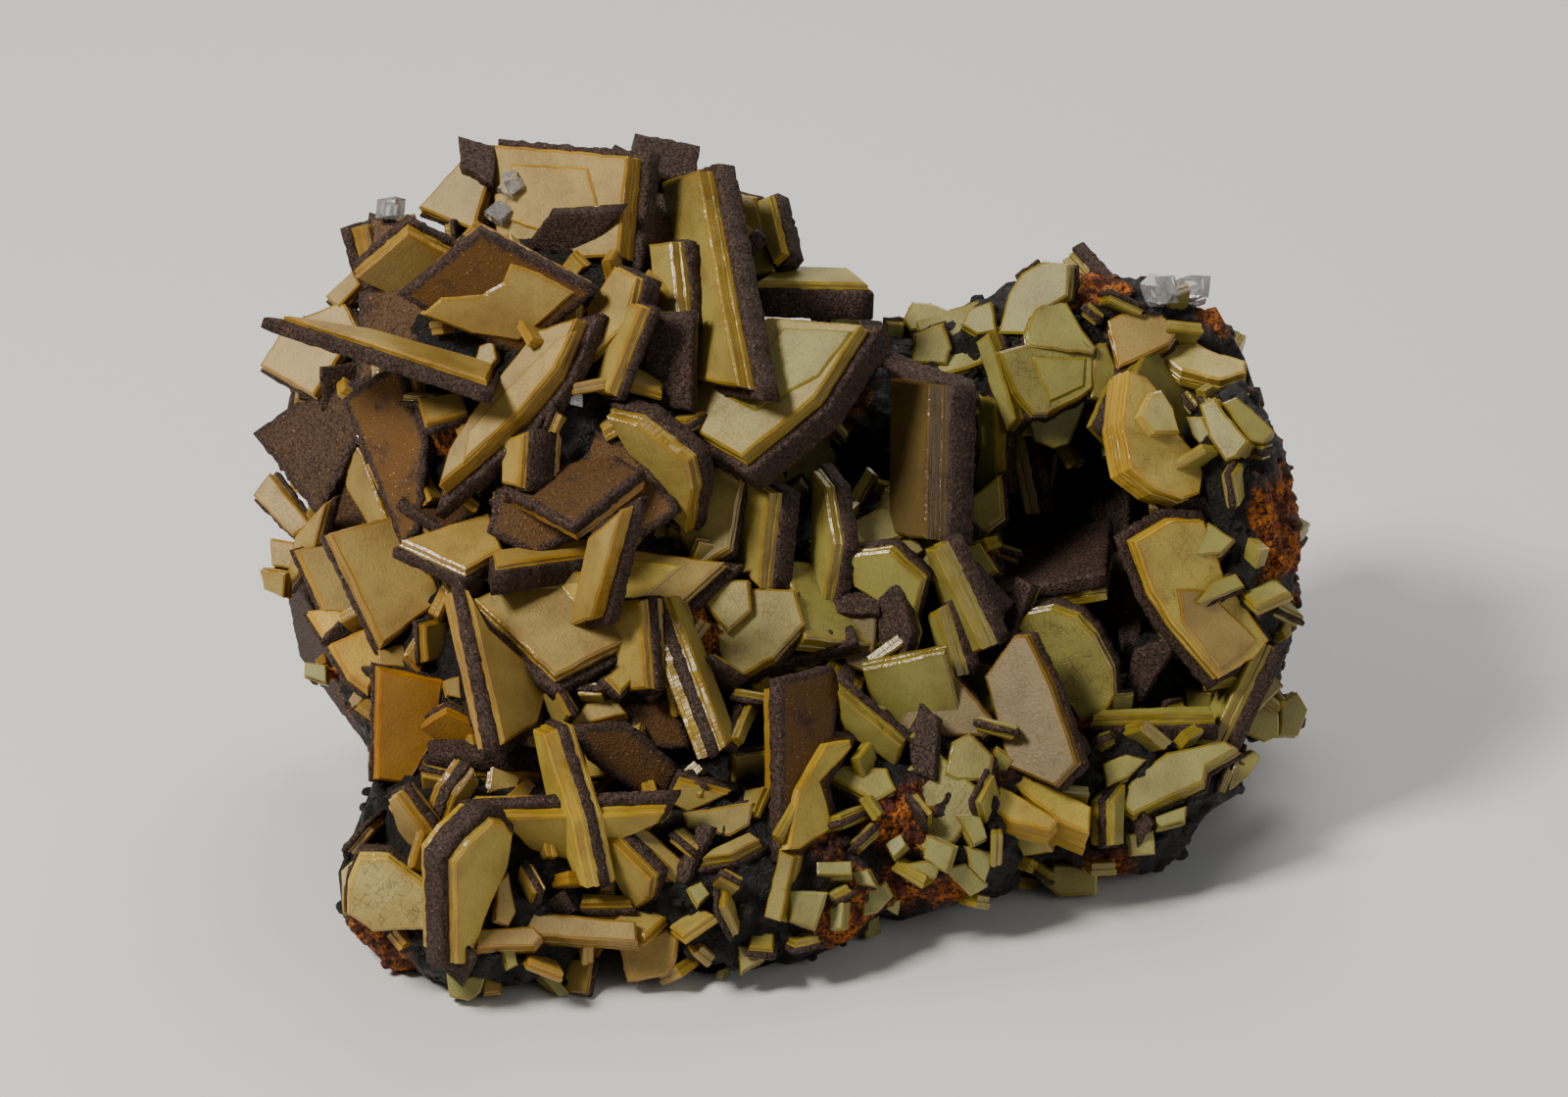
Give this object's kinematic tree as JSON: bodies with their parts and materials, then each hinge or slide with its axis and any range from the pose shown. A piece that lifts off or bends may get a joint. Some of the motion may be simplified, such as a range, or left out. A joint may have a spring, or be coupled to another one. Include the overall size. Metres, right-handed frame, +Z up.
{
  "type": "wulfenite mineral specimen",
  "caption": "Cabinet specimen of thick square wulfenite tablets, tan with a rough brown zone, grown over a dome and a hooked ridge of dark gossan that sits on a flat underside.",
  "frame": {"origin": "middle of the flat underside, on the surface the specimen rests on", "axes": "+X to the viewer's right along the longest side, +Y away from the viewer, +Z up"},
  "size_m": [0.1109, 0.0858, 0.0691],
  "materials": {
    "matrix": "rough, grainy, earthy",
    "amber_crystal": "waxy to glassy, with a rough brown zone",
    "back_cluster": "waxy to glassy, with a rough brown zone",
    "calcite_crown": "clear, glossy",
    "calcite_crown_front": "clear, glossy",
    "calcite_glossy": "clear, glossy",
    "calcite_left": "clear, glossy",
    "calcite_ramp": "clear, glossy",
    "calcite_ridge": "clear, glossy",
    "calcite_ridge_end": "clear, glossy",
    "dome_cluster": "waxy to glassy, with a rough brown zone",
    "front_cluster": "waxy to glassy, with a rough brown zone",
    "hollow_crystals": "waxy to glassy, with a rough brown zone",
    "leaf_crystals": "waxy to glassy, with a rough brown zone",
    "left_fan_cluster": "waxy to glassy, with a rough brown zone",
    "ridge_cluster": "waxy to glassy, with a rough brown zone",
    "right_wall_cluster": "waxy to glassy, with a rough brown zone",
    "sparkling_crystal": "waxy to glassy, with a rough brown zone",
    "wedge_crystals": "waxy to glassy, with a rough brown zone"
  },
  "bodies": {
    "root": {"matrix": "matrix", "amber_crystal": "amber_crystal", "back_cluster": "back_cluster", "calcite_crown": "calcite_crown", "calcite_crown_front": "calcite_crown_front", "calcite_glossy": "calcite_glossy", "calcite_left": "calcite_left", "calcite_ramp": "calcite_ramp", "calcite_ridge": "calcite_ridge", "calcite_ridge_end": "calcite_ridge_end", "dome_cluster": "dome_cluster", "front_cluster": "front_cluster", "hollow_crystals": "hollow_crystals", "leaf_crystals": "leaf_crystals", "left_fan_cluster": "left_fan_cluster", "ridge_cluster": "ridge_cluster", "right_wall_cluster": "right_wall_cluster", "sparkling_crystal": "sparkling_crystal", "wedge_crystals": "wedge_crystals"}
  },
  "joints": []
}
